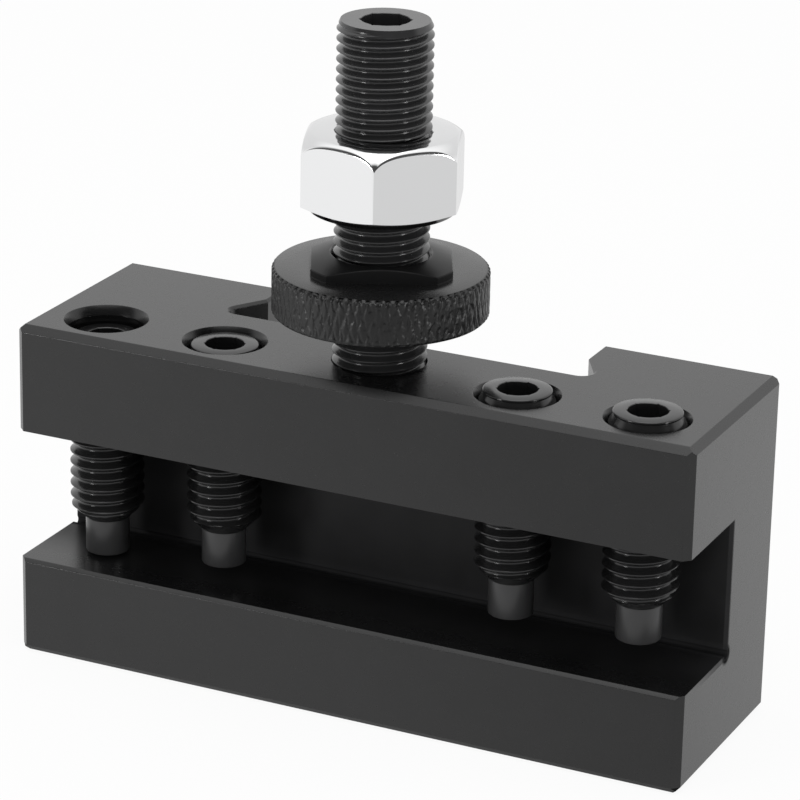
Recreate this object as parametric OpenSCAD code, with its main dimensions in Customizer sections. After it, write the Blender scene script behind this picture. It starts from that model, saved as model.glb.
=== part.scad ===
// Turning tool holder for a quick-change lathe tool post.
// A steel block with a tool channel at the front, a dovetail slot at the back, four clamp
// screws over the channel, and a stud that carries a knurled height wheel and its lock nut.
// Millimetres. X runs along the tool, +Y towards the tool post, +Z up.
// The origin is the centre of the block's base.

/* [Block] */
// Length of the block along the tool
block_l = 76.2; // [70:0.2:100]
// Height of the lower jaw, from the base to the channel floor
lower_jaw_h = 10.8; // [8:0.1:16]
// Height of the upper jaw, from the channel to the top face
upper_jaw_h = 11.8; // [11:0.1:18]
// Thickness of the wall between the channel and the dovetail slot
web_t = 2.25; // [1.8:0.05:8]
// Chamfer along the outer edges
edge_chamfer = 0.75; // [0.2:0.05:1.2]

/* [Tool channel] */
// Height of the channel between the two jaws
channel_h = 14.6; // [12:0.1:20]
// Depth of the channel from the front face
channel_d = 12.05; // [11:0.05:16]
// Chamfer on the front edge of the channel floor
lip_chamfer = 0.36; // [0.1:0.02:0.8]
// Chamfer on the two upright end edges of the channel wall
wall_end_chamfer = 0.35; // [0.2:0.05:1]
// Radius of the cutter relief between the wall and the floor
floor_relief_r = 0.5; // [0.2:0.05:0.6]

/* [Dovetail slot] */
// Width of the slot's straight neck at the back face
neck_w = 37.2; // [30:0.2:42]
// Depth of the straight neck
neck_d = 4.6; // [2:0.1:6]
// Depth of the whole slot
dovetail_d = 10.1; // [9:0.1:14]
// Angle between a flank and the back face, in degrees
flank_angle = 60; // [55:1:70]
// Radius of the cutter relief in the two inner corners
relief_r = 1.3; // [0.5:0.1:1.5]
// Chamfer along the upper and lower edges of the slot
slot_chamfer = 0.3; // [0.1:0.05:0.6]

/* [Clamp screws] */
// Diameter over the thread crests
screw_d = 7.9; // [6:0.1:8.4]
// Thread pitch
screw_pitch = 1.25; // [0.8:0.05:1.5]
// Length over all
screw_len = 24.4; // [22:0.1:32]
// Diameter of the dog point
dog_d = 4.7; // [3.5:0.1:5]
// Length of the dog point
dog_len = 3.9; // [3:0.1:6]
// Hex socket across flats
screw_key = 4; // [3:0.1:4.2]
// Depth of the hex socket
screw_key_depth = 5; // [3:0.5:8]
// Turn of the hex sockets from the block's faces, in degrees
screw_key_turn = 25; // [0:1:60]
// Distance from the block's end to the outer screw of each pair
screw_end_gap = 7.4; // [6:0.1:9]
// Distance between the two screws of a pair
screw_pair_gap = 14.1; // [12:0.1:15]
// Distance from the front face to the row of screws
screw_front_gap = 6.2; // [5.5:0.1:7]
// Clearance under the tip of screw 1, the first from the left
tip_gap_1 = 0.3; // [0.2:0.1:4]
// Clearance under the tip of screw 2
tip_gap_2 = 1.7; // [0.2:0.1:4]
// Clearance under the tip of screw 3
tip_gap_3 = 2.6; // [0.2:0.1:4]
// Clearance under the tip of screw 4
tip_gap_4 = 2.8; // [0.2:0.1:4]
// Widening of the countersink over each screw hole
countersink_w = 0.5; // [0.2:0.05:0.8]
// Depth of that countersink
countersink_h = 1; // [0.5:0.1:2]

/* [Height stud] */
// Diameter over the thread crests
stud_d = 9.8; // [8:0.05:10.5]
// Thread pitch
stud_pitch = 1.058; // [0.8:0.002:1.5]
// Height of the stud above the block
stud_h = 35.9; // [34:0.1:50]
// Length of the stud inside the block
stud_engage = 10; // [6:0.1:10.5]
// Distance from the front face to the stud
stud_front_gap = 8.7; // [8:0.1:10]
// Hex socket across flats
stud_key = 4.76; // [4:0.02:5.2]
// Depth of the hex socket
stud_key_depth = 6; // [3:0.5:10]
// Turn of the hex socket from the block's faces, in degrees
stud_key_turn = 25; // [0:1:60]

/* [Thumb wheel] */
// Diameter over the knurl
wheel_d = 22.3; // [20:0.1:26]
// Thickness of the knurled disc
wheel_h = 4.9; // [4:0.1:8]
// Height of the wheel above the block
wheel_gap = 5.2; // [4:0.1:8]
// Spanner flats of the boss, across its two long flats
boss_af = 11.6; // [11.4:0.1:14]
// Width of the boss across its two short flats
boss_w = 14.4; // [13:0.1:16]
// Diameter of the boss over its corners
boss_d = 16.1; // [15:0.1:19]
// Height of the boss above the disc
boss_h = 1.55; // [1.2:0.05:3]
// Turn of the boss flats from the block's faces, in degrees
boss_turn = 26.5; // [0:0.5:45]

/* [Lock nut] */
// Across flats
nut_af = 15.65; // [14:0.05:18]
// Height of the nut
nut_h = 8.1; // [6:0.1:10]
// Clearance between the boss and the nut
nut_gap = 4.75; // [1:0.05:7]
// Turn of the nut from the block's faces, in degrees
nut_turn = -10; // [-30:1:30]

/* [Hidden] */
$fn = 96;

// Length by which a cutter runs past the face that it opens
over = 1;
// Radial clearance of every screwed piece in its hole
thread_clear = 0.05;
// Depth of a thread in its pitches, and where its root and crest flats end
thread_depth = 0.6134;
root_flat = 1/16;
crest_from = 7/16;
crest_to = 9/16;

block_d = channel_d + web_t + dovetail_d;
block_h = lower_jaw_h + channel_h + upper_jaw_h;
front_y = -block_d/2;
back_y = block_d/2;
wall_y = front_y + channel_d;
slot_y = back_y - dovetail_d;
floor_z = lower_jaw_h;
jaw_z = floor_z + channel_h;

screw_y = front_y + screw_front_gap;
screw_outer_x = block_l/2 - screw_end_gap;
screw_inner_x = screw_outer_x - screw_pair_gap;
screw_xs = [-screw_outer_x, -screw_inner_x, screw_inner_x, screw_outer_x];
tip_gaps = [tip_gap_1, tip_gap_2, tip_gap_3, tip_gap_4];
screw_r = screw_d/2;
screw_hole_r = screw_r + thread_clear;
// The rim's chamfer leaves this ring, and the socket's mouth flares to this radius
screw_rim_r = screw_r - 0.38;
screw_mouth_r = screw_key/sqrt(3);
tip_chamfer = 0.3;

stud_y = front_y + stud_front_gap;
stud_r = stud_d/2;
stud_hole_r = stud_r + thread_clear;
stud_chamfer = 0.35;
stud_hole_spare = 0.5;

wheel_z = block_h + wheel_gap;
wheel_chamfer = 0.5;
wheel_bore_flare = 0.25;
// The boss's edge is turned to this angle, which leaves an arc over each flat
boss_chamfer_angle = 17.5;
boss_top_r = boss_af/2 - 0.3;

nut_z = wheel_z + wheel_h + boss_h + nut_gap;
nut_corner_r = nut_af/sqrt(3);
// The nut's turned top is an arc of this radius, swept through these angles from upright
nut_dome_r = 2.55;
nut_dome_from = 17.5;
nut_dome_to = 77.5;
nut_dome_steps = 6;
// Angle of the turned chamfer under the nut's corners
nut_base_angle = 20;
// Tapered collar under the nut
collar_h = 0.5;
collar_r = nut_af/2 - 0.03;
collar_base_r = collar_r - 0.25;
nut_bore_flare = 0.25;

// Corner points of a rectangle w by h with its corners cut off by c, its lower left at [x, y]
function cut_rectangle(x, y, w, h, c) = [
    [x + c, y], [x + w - c, y], [x + w, y + c], [x + w, y + h - c],
    [x + w - c, y + h], [x + c, y + h], [x, y + h - c], [x, y + c]
];

// Profile points of whole thread turns that fit between z0 and z1
function thread_turns(r, pitch, z0, z1) = let (root_r = r - thread_depth*pitch) [
    for (i = [0 : floor((z1 - z0)/pitch) - 1])
        for (p = [[root_r, root_flat], [r, crest_from], [r, crest_to], [root_r, 1 - root_flat]])
            [p[0], z0 + (i + p[1])*pitch]
];

// Outline of the block seen from its end, with the tool channel
module end_outline() {
    polygon([
        [front_y + edge_chamfer, 0],
        [back_y - edge_chamfer, 0],
        [back_y, edge_chamfer],
        [back_y, block_h - edge_chamfer],
        [back_y - edge_chamfer, block_h],
        [front_y + edge_chamfer, block_h],
        [front_y, block_h - edge_chamfer],
        [front_y, jaw_z],
        [wall_y, jaw_z],
        [wall_y, floor_z],
        [front_y + lip_chamfer, floor_z],
        [front_y, floor_z - lip_chamfer],
        [front_y, edge_chamfer]
    ]);
}

// The block with its channel, chamfered along all twelve outer edges
module block_blank() {
    intersection() {
        rotate([90, 0, 90])
            linear_extrude(block_l, center = true)
                end_outline();
        linear_extrude(block_h)
            polygon(cut_rectangle(-block_l/2, front_y, block_l, block_d, edge_chamfer));
        rotate([90, 0, 0])
            linear_extrude(block_d, center = true)
                polygon(cut_rectangle(-block_l/2, 0, block_l, block_h, edge_chamfer));
    }
}

// Plan of the dovetail slot: neck, slanted flanks and a round relief in each inner corner
module dovetail_outline() {
    neck_x = neck_w/2;
    flank_y = back_y - neck_d;
    corner_x = neck_x + (dovetail_d - neck_d)/tan(flank_angle);
    // The relief circle touches the inner face and the flank this far from their corner
    reach = relief_r/tan(flank_angle/2);
    for (side = [-1, 1])
        translate([side*(corner_x - reach), slot_y + relief_r])
            circle(r = relief_r);
    polygon([
        [-neck_x, back_y + over],
        [-neck_x, flank_y],
        [-corner_x + reach*cos(flank_angle), slot_y + reach*sin(flank_angle)],
        [-corner_x + reach, slot_y],
        [corner_x - reach, slot_y],
        [corner_x - reach*cos(flank_angle), slot_y + reach*sin(flank_angle)],
        [neck_x, flank_y],
        [neck_x, back_y + over]
    ]);
}

// Cutter for a chamfer along +X, under the plane z = 0 and beside the plane y = 0
module edge_cut(length) {
    rotate([90, 0, 90])
        linear_extrude(length)
            polygon([[0, -slot_chamfer], [slot_chamfer, 0], [slot_chamfer, over],
                     [-over, over], [-over, -slot_chamfer]]);
}

// Chamfers round the rim of the slot, in a face at z = 0
module slot_rim_cut() {
    neck_x = neck_w/2;
    flank_y = back_y - neck_d;
    flank_len = (dovetail_d - neck_d)/sin(flank_angle);
    corner_x = neck_x + flank_len*cos(flank_angle);
    reach = relief_r/tan(flank_angle/2);
    translate([corner_x - reach, slot_y, 0])
        rotate([0, 0, 180])
            edge_cut(2*(corner_x - reach));
    for (side = [0, 1])
        mirror([side, 0, 0]) {
            translate([neck_x, back_y + over, 0])
                rotate([0, 0, -90])
                    edge_cut(neck_d + over + slot_chamfer);
            translate([neck_x, flank_y, 0])
                rotate([0, 0, -flank_angle])
                    translate([-slot_chamfer, 0, 0])
                        edge_cut(slot_chamfer + flank_len - reach);
            translate([corner_x - reach, slot_y + relief_r, -slot_chamfer])
                cylinder(r1 = relief_r, r2 = relief_r + slot_chamfer, h = slot_chamfer);
        }
}

// Chamfer cutter for the upright edge of the channel wall at the +X end
module wall_end_cut() {
    end_x = block_l/2;
    translate([0, 0, floor_z])
        linear_extrude(channel_h)
            polygon([
                [end_x - wall_end_chamfer, wall_y],
                [end_x, wall_y - wall_end_chamfer],
                [end_x + wall_end_chamfer, wall_y],
                [end_x, wall_y + wall_end_chamfer]
            ]);
}

// Tapped hole through the upper jaw, drawn at the clearance over the screw's crests
module screw_hole() {
    translate([0, 0, jaw_z - over])
        cylinder(r = screw_hole_r, h = upper_jaw_h + 2*over);
    translate([0, 0, block_h - countersink_h])
        cylinder(r1 = screw_hole_r, r2 = screw_hole_r + countersink_w, h = countersink_h);
    translate([0, 0, block_h])
        cylinder(r = screw_hole_r + countersink_w, h = over);
}

module holder_body() {
    color("#3c3c3e")
        difference() {
            block_blank();
            translate([0, 0, -over])
                linear_extrude(block_h + 2*over)
                    dovetail_outline();
            translate([0, 0, block_h])
                slot_rim_cut();
            mirror([0, 0, 1])
                slot_rim_cut();
            translate([0, wall_y, floor_z])
                rotate([0, 90, 0])
                    cylinder(r = floor_relief_r, h = block_l + 2*over, center = true, $fn = 48);
            for (x = screw_xs)
                translate([x, screw_y, 0])
                    screw_hole();
            translate([0, stud_y, block_h - stud_engage - stud_hole_spare])
                cylinder(r = stud_hole_r, h = stud_engage + stud_hole_spare + over);
            wall_end_cut();
            mirror([1, 0, 0])
                wall_end_cut();
        }
}

// Hexagonal key socket with its mouth at z = 0, flared to a round mouth
module key_socket(af, depth) {
    corner_r = af/sqrt(3);
    flare = corner_r - af/2 + 0.1;
    translate([0, 0, -depth])
        cylinder(r = corner_r, h = depth + over, $fn = 6);
    translate([0, 0, -flare])
        cylinder(r1 = corner_r - flare, r2 = corner_r + over, h = flare + over);
}

// Clamp screw with a dog point, its tip at z = 0
module clamp_screw() {
    root_r = screw_r - thread_depth*screw_pitch;
    thread_to = screw_len - (screw_r - screw_rim_r) - 0.3;
    // The last turns run out on a chamfer above the dog point
    turns = [for (p = thread_turns(screw_r, screw_pitch, dog_len, thread_to))
        [min(p[0], dog_d/2 + p[1] - dog_len), p[1]]];
    color("#2a2a2c")
        difference() {
            rotate_extrude()
                polygon(concat(
                    [[0, 0], [dog_d/2 - tip_chamfer, 0], [dog_d/2, tip_chamfer],
                     [dog_d/2, dog_len]],
                    turns,
                    [[root_r, thread_to], [screw_r, thread_to],
                     [screw_r, screw_len - (screw_r - screw_rim_r)],
                     [screw_rim_r, screw_len], [0, screw_len]]
                ));
            translate([0, 0, screw_len])
                rotate([0, 0, screw_key_turn])
                    key_socket(screw_key, screw_key_depth);
        }
}

// Clamp screw i of the row, its tip over the channel floor
module placed_clamp_screw(i) {
    translate([screw_xs[i], screw_y, floor_z + tip_gaps[i]])
        clamp_screw();
}

module height_stud() {
    root_r = stud_r - thread_depth*stud_pitch;
    thread_from = stud_engage - stud_pitch;
    stud_len = stud_engage + stud_h;
    thread_to = stud_len - stud_chamfer;
    color("#2a2a2c")
        translate([0, stud_y, block_h - stud_engage])
            difference() {
                rotate_extrude()
                    polygon(concat(
                        [[0, 0], [stud_r - stud_chamfer, 0], [stud_r, stud_chamfer],
                         [stud_r, thread_from], [root_r, thread_from]],
                        thread_turns(stud_r, stud_pitch, thread_from, thread_to),
                        [[root_r, thread_to - root_flat*stud_pitch],
                         [stud_r - stud_chamfer, stud_len], [0, stud_len]]
                    ));
                translate([0, 0, stud_len])
                    rotate([0, 0, stud_key_turn])
                        cylinder(r = stud_key/sqrt(3), h = 2*stud_key_depth, center = true, $fn = 6);
            }
}

// Bore of a piece on the stud, flared at both ends of its height h
module stud_bore(h, flare) {
    translate([0, 0, -over])
        cylinder(r = stud_hole_r, h = h + 2*over);
    translate([0, 0, h - flare])
        cylinder(r1 = stud_hole_r, r2 = stud_hole_r + flare + over, h = flare + over);
    translate([0, 0, -over])
        cylinder(r1 = stud_hole_r + flare + over, r2 = stud_hole_r, h = flare + over);
}

// Four-sided spanner boss, turned round at its corners and chamfered over its flats
module spanner_boss() {
    corner_h = boss_h - (boss_d/2 - boss_top_r)*tan(boss_chamfer_angle);
    intersection() {
        rotate([0, 0, boss_turn])
            translate([-boss_w/2, -boss_af/2, 0])
                cube([boss_w, boss_af, boss_h]);
        rotate_extrude()
            polygon([[0, 0], [boss_d/2, 0], [boss_d/2, max(corner_h, 0.05)],
                     [boss_top_r, boss_h], [0, boss_h]]);
    }
}

module thumb_wheel() {
    wheel_r = wheel_d/2;
    color("#262628")
        translate([0, stud_y, wheel_z])
            difference() {
                union() {
                    rotate_extrude()
                        polygon([[0, 0], [wheel_r - wheel_chamfer, 0], [wheel_r, wheel_chamfer],
                                 [wheel_r, wheel_h - wheel_chamfer],
                                 [wheel_r - wheel_chamfer, wheel_h], [0, wheel_h]]);
                    translate([0, 0, wheel_h])
                        spanner_boss();
                }
                stud_bore(wheel_h + boss_h, wheel_bore_flare);
            }
}

module lock_nut() {
    turned_r = nut_corner_r + 0.01;
    base_cut = (turned_r - collar_r)*tan(nut_base_angle);
    dome_x = turned_r - nut_dome_r*sin(nut_dome_to);
    dome_z = nut_h - nut_dome_r*cos(nut_dome_from);
    dome = [for (i = [nut_dome_steps : -1 : 0])
        let (a = nut_dome_from + (nut_dome_to - nut_dome_from)*i/nut_dome_steps)
            [dome_x + nut_dome_r*sin(a), dome_z + nut_dome_r*cos(a)]];
    color("#d8d9da")
        translate([0, stud_y, nut_z])
            difference() {
                intersection() {
                    rotate([0, 0, nut_turn])
                        cylinder(r = nut_corner_r, h = nut_h, $fn = 6);
                    rotate_extrude()
                        polygon(concat([[0, 0], [collar_base_r, 0], [collar_r, collar_h],
                                        [turned_r, collar_h + base_cut]],
                                       dome, [[0, nut_h]]));
                }
                stud_bore(nut_h, nut_bore_flare);
            }
}

holder_body();
height_stud();
thumb_wheel();
lock_nut();
placed_clamp_screw(0);  // clamp_screw_1
placed_clamp_screw(1);  // clamp_screw_2
placed_clamp_screw(2);  // clamp_screw_3
placed_clamp_screw(3);  // clamp_screw_4
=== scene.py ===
"""The looks of a turning tool holder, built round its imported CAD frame.

Everything is in metres in the frame's own axes: X along the tool, +Y towards the tool post, +Z up.
"""

from __future__ import annotations

import logging
import math
from dataclasses import dataclass, replace
from enum import Enum
from typing import Callable

import bmesh
import bpy
from mathutils import Matrix, Vector

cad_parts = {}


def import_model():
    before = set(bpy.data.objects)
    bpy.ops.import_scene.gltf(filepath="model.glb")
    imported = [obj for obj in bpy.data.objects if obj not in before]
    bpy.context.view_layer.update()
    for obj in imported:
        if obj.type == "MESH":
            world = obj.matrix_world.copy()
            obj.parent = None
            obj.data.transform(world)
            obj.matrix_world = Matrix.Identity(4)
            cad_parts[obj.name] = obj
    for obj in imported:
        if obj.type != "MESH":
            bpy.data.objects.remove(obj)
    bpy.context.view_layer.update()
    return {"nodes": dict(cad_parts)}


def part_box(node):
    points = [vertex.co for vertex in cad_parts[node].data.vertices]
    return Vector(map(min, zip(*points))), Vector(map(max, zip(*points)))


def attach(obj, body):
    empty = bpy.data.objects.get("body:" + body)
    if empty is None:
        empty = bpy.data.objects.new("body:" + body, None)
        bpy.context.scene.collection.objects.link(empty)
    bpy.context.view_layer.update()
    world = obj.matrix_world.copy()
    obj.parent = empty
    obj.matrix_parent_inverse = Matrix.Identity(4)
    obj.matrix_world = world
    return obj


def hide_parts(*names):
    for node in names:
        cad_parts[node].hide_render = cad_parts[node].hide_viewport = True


LOG = logging.getLogger("tool_holder")
MM = 0.001
STUD_Y = -3.5 * MM
CHANNEL_FRONT = -12.2 * MM
CHANNEL_BACK = -0.15 * MM
CHANNEL_FLOOR = 10.8 * MM
CHANNEL_ROOF = 25.4 * MM
SPECULAR_LEVEL = 0.5
THREAD_SHARP_FROM = 40.0
AroundAxis = Callable[[float], float]


class Slot(Enum):
    """The record's material slots."""

    BLOCK = "blackened_block"
    STUD = "blackened_stud"
    WHEEL = "blackened_wheel"
    NUT = "zinc_nut"
    SCREW = "blackened_screw"


class Lay(Enum):
    """The way that the fine tool marks run on a finish, as stretch factors of their pattern."""

    ALONG_X = (0.03, 1.0, 1.0)
    NO_WAY = (1.0, 1.0, 1.0)


@dataclass(frozen=True)
class Term:
    """A number that a node tree works out, which takes part in sums like a plain number."""

    tree: bpy.types.NodeTree
    socket: bpy.types.NodeSocket

    def step(self, operation: str, *others: Term | float) -> Term:
        """Adds one Math node.

        Args:
            operation: The node's operation.
            others: Its second and third values.

        Returns:
            The node's result.
        """
        node = self.tree.nodes.new("ShaderNodeMath")
        node.operation = operation
        for socket, value in zip(node.inputs, (self, *others)):
            if isinstance(value, Term):
                self.tree.links.new(value.socket, socket)
            else:
                socket.default_value = value
        return Term(self.tree, node.outputs[0])

    def __add__(self, other: Term | float) -> Term:
        """Returns the sum."""
        return self.step("ADD", other)

    def __sub__(self, other: Term | float) -> Term:
        """Returns the difference."""
        return self.step("SUBTRACT", other)

    def __mul__(self, other: Term | float) -> Term:
        """Returns the product."""
        return self.step("MULTIPLY", other)

    def __truediv__(self, other: Term | float) -> Term:
        """Returns the quotient."""
        return self.step("DIVIDE", other)

    def least(self, other: Term | float) -> Term:
        """Returns the lower of the two."""
        return self.step("MINIMUM", other)

    def most(self, other: Term | float) -> Term:
        """Returns the higher of the two."""
        return self.step("MAXIMUM", other)

    def soft_between(self, low: float, high: float, round_low: float, round_high: float) -> Term:
        """Clamps the number with a soft bend at each end.

        Args:
            low: The lower end.
            high: The upper end.
            round_low: Size of the bend at the lower end.
            round_high: Size of the bend at the upper end.

        Returns:
            The clamped number.
        """
        return self.step("SMOOTH_MIN", high, round_high).step("SMOOTH_MAX", low, round_low)

    def zigzag(self) -> Term:
        """Returns a wave that falls from 1 at each whole number to 0 halfway between them."""
        return (self.step("FRACT") * 2.0 - 1.0).step("ABSOLUTE")

    def eased(self, low: float, high: float) -> Term:
        """Rises softly from 0 at one value to 1 at another.

        Args:
            low: The value at which the result leaves 0.
            high: The value at which the result reaches 1.

        Returns:
            The eased number.
        """
        node = self.tree.nodes.new("ShaderNodeMapRange")
        node.interpolation_type = "SMOOTHSTEP"
        node.inputs["From Min"].default_value = low
        node.inputs["From Max"].default_value = high
        self.tree.links.new(self.socket, node.inputs["Value"])
        return Term(self.tree, node.outputs["Result"])


class BandTree:
    """A geometry node tree that rolls a grid into a band round the z axis and joins it to a piece."""

    WELD = 0.002 * MM

    def __init__(self, name: str, inputs: dict[str, float]) -> None:
        """Starts the tree.

        Args:
            name: The tree's name.
            inputs: Its named numbers with their defaults, whole numbers for counts.
        """
        self.tree = bpy.data.node_groups.new(name, "GeometryNodeTree")
        interface = self.tree.interface
        interface.new_socket(name="Geometry", in_out="INPUT", socket_type="NodeSocketGeometry")
        interface.new_socket(name="Geometry", in_out="OUTPUT", socket_type="NodeSocketGeometry")
        for label, default in inputs.items():
            kind = "NodeSocketInt" if isinstance(default, int) else "NodeSocketFloat"
            interface.new_socket(name=label, in_out="INPUT", socket_type=kind).default_value = default
        interface.new_socket(name="Finish", in_out="INPUT", socket_type="NodeSocketMaterial")
        self.entry = self.tree.nodes.new("NodeGroupInput")
        self.end = self.tree.nodes.new("NodeGroupOutput")

    def value(self, label: str) -> Term:
        """Returns the named input as a number."""
        return Term(self.tree, self.entry.outputs[label])

    def node(self, kind: str, links: dict[str, bpy.types.NodeSocket]) -> bpy.types.Node:
        """Adds a node.

        Args:
            kind: The node's type.
            links: The sockets that feed its named inputs.

        Returns:
            The new node.
        """
        node = self.tree.nodes.new(kind)
        for label, socket in links.items():
            self.tree.links.new(socket, node.inputs[label])
        return node

    def grid(self, columns: Term, rows: Term) -> tuple[bpy.types.NodeSocket, Term, Term]:
        """Adds the flat grid that becomes the band.

        Args:
            columns: Faces round the axis.
            rows: Faces from the band's foot to its top.

        Returns:
            The grid's mesh, and the share from 0 to 1 of each point round and up the band.
        """
        counts = {"Vertices X": (columns + 1.0).socket, "Vertices Y": (rows + 1.0).socket}
        grid = self.node("GeometryNodeMeshGrid", counts)
        place = self.tree.nodes.new("GeometryNodeInputPosition")
        parts = self.node("ShaderNodeSeparateXYZ", {"Vector": place.outputs[0]})
        around = Term(self.tree, parts.outputs["X"]) + 0.5
        up = Term(self.tree, parts.outputs["Y"]) + 0.5
        return grid.outputs["Mesh"], around, up

    def rolled(self, around: Term, radius: Term | float, height: Term) -> bpy.types.NodeSocket:
        """Works out places on a band round the axis.

        Args:
            around: Each point's share of a full turn.
            radius: Each point's distance from the axis.
            height: Each point's height.

        Returns:
            The places.
        """
        angle = around * math.tau
        across, along = angle.step("COSINE") * radius, angle.step("SINE") * radius
        links = {"X": across.socket, "Y": along.socket, "Z": height.socket}
        return self.node("ShaderNodeCombineXYZ", links).outputs[0]

    def roll(self, mesh: bpy.types.NodeSocket, around: Term, radius: Term, height: Term) -> None:
        """Rolls the grid up, welds it to the piece and gives it its finish.

        Args:
            mesh: The flat grid.
            around: Each point's share of a full turn.
            radius: Each point's distance from the axis.
            height: Each point's height.
        """
        links = {"Geometry": mesh, "Position": self.rolled(around, radius, height)}
        band = self.node("GeometryNodeSetPosition", links)
        join = self.node("GeometryNodeJoinGeometry", {"Geometry": band.outputs[0]})
        self.tree.links.new(self.entry.outputs["Geometry"], join.inputs["Geometry"])
        weld = self.node("GeometryNodeMergeByDistance", {"Geometry": join.outputs[0]})
        weld.inputs["Distance"].default_value = self.WELD
        real = self.node("GeometryNodeRealizeInstances", {"Geometry": weld.outputs[0]})
        links = {"Geometry": real.outputs[0], "Material": self.entry.outputs["Finish"]}
        dressed = self.node("GeometryNodeSetMaterial", links)
        self.tree.links.new(dressed.outputs[0], self.end.inputs[0])

    def fit(self, piece: bpy.types.Object, values: dict[str, float], finish: bpy.types.Material) -> None:
        """Puts the tree on a piece and sets its inputs by their identifiers.

        Args:
            piece: The object whose mesh the band completes.
            values: The named inputs.
            finish: The material of the whole piece.
        """
        modifier = piece.modifiers.new(self.tree.name, "NODES")
        modifier.node_group = self.tree
        for item in self.tree.interface.items_tree:
            if item.in_out == "INPUT" and item.name in values:
                modifier[item.identifier] = values[item.name]
            elif item.in_out == "INPUT" and item.name == "Finish":
                modifier[item.identifier] = finish


def thread_tree() -> BandTree:
    """Builds the tree that winds one rounded right-hand thread between two heights.

    Returns:
        The tree. The groove fades out under the top height, and a cone ends the thread at the foot and at
        the top.
    """
    crest_flat, flanks, crest_bend, root_bend = 0.12, 0.7, 0.05, 0.2
    defaults = {
        "Crest Radius": 4.0 * MM, "Pitch": 1.25 * MM, "Depth": 0.7 * MM, "Foot": 0.0, "Top": 20.0 * MM,
        "Foot Radius": 2.3 * MM, "Top Radius": 4.0 * MM, "Top Slope": 1.0, "Fade": 0.6 * MM, "Phase": 0.0,
        "Turns": 18, "Around": 72, "Rows Per Turn": 24,
    }
    band = BandTree("wound_thread", defaults)
    turns = band.value("Turns")
    mesh, around, up = band.grid(band.value("Around"), turns * band.value("Rows Per Turn"))
    along = turns * up
    # Each row of the grid follows the helix, so a crest never steps from one row to the next
    free_height = (along + around - 1.0 - band.value("Phase")) * band.value("Pitch") + band.value("Foot")
    height = free_height.most(band.value("Foot")).least(band.value("Top"))
    turn = (height - band.value("Foot")) / band.value("Pitch") + 1.0 + band.value("Phase") - around
    # A crest flat an eighth of the pitch wide, straight flanks and a rounded root
    groove = ((turn.zigzag() - crest_flat) / flanks).soft_between(0.0, 1.0, crest_bend, root_bend)
    fade = ((band.value("Top") - height) / band.value("Fade")).least(1.0).eased(0.0, 1.0)
    thread_radius = band.value("Crest Radius") - band.value("Depth") * groove * fade
    foot_cone = height - band.value("Foot") + band.value("Foot Radius")
    top_cone = (band.value("Top") - height) * band.value("Top Slope") + band.value("Top Radius")
    band.roll(mesh, around, thread_radius.least(foot_cone).least(top_cone), height)
    return band


def knurl_tree() -> BandTree:
    """Builds the tree that presses a diamond knurl into a wheel's rim.

    Returns:
        The tree. Two sets of slanting grooves cross, and chamfers end them at the foot and at the top.
    """
    noise_radius, noise_height, broad_scale, fine_scale = 11.0, 700.0, 0.55, 2.4
    land = 0.4
    defaults = {
        "Radius": 11.0 * MM, "Foot": 0.0, "Top": 5.0 * MM, "Chamfer": 0.5 * MM, "Depth": 0.3 * MM,
        "Count": 74, "Diamonds Up": 3.0, "Wear": 0.2, "Drift": 0.5, "Crossing": 0.7, "Run Out": 0.06 * MM,
        "Rim Bite": 1.0, "Rim Height": 0.6 * MM, "Columns Each": 12, "Rows": 60,
    }
    band = BandTree("diamond_knurl", defaults)
    mesh, around, up = band.grid(band.value("Count") * band.value("Columns Each"), band.value("Rows"))
    foot = band.value("Foot")
    top = band.value("Top")
    height = (top - foot) * up + foot
    # The noise repeats round the wheel, because it is read on the rolled-up place
    place = band.rolled(around, noise_radius, height * noise_height)
    broad = band.node("ShaderNodeTexNoise", {"Vector": place})
    broad.inputs["Scale"].default_value = broad_scale
    fine = band.node("ShaderNodeTexNoise", {"Vector": place})
    fine.inputs["Scale"].default_value = fine_scale
    wander = Term(band.tree, fine.outputs[0]) - 0.5
    drift = (Term(band.tree, broad.outputs[0]) - 0.5 + wander * 0.5) * band.value("Drift")
    worn = wander * band.value("Wear") + 1.0
    count_round = band.value("Count") * around + drift
    count_up = band.value("Diamonds Up") * up
    # Narrow grooves between worn flats, and the leaning ones are deeper than those that cross them
    leaning = ((count_round - count_up).zigzag() - land) / (1.0 - land)
    crossing = ((count_round + count_up).zigzag() - land) / (1.0 - land) * band.value("Crossing")
    groove = leaning.most(crossing).most(0.0) * worn
    end_radius = band.value("Radius") - band.value("Chamfer")
    to_end = (height - foot).least(top - height)
    # The teeth stand out at the top rim, where the wheel wears least
    rim = ((height - top) / band.value("Rim Height") + 1.0).most(0.0) * band.value("Rim Bite") + 1.0
    bite = band.value("Depth") * groove * rim * (to_end / band.value("Run Out")).least(1.0)
    band.roll(mesh, around, band.value("Radius").least(to_end + end_radius) - bite, height)
    return band


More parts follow.
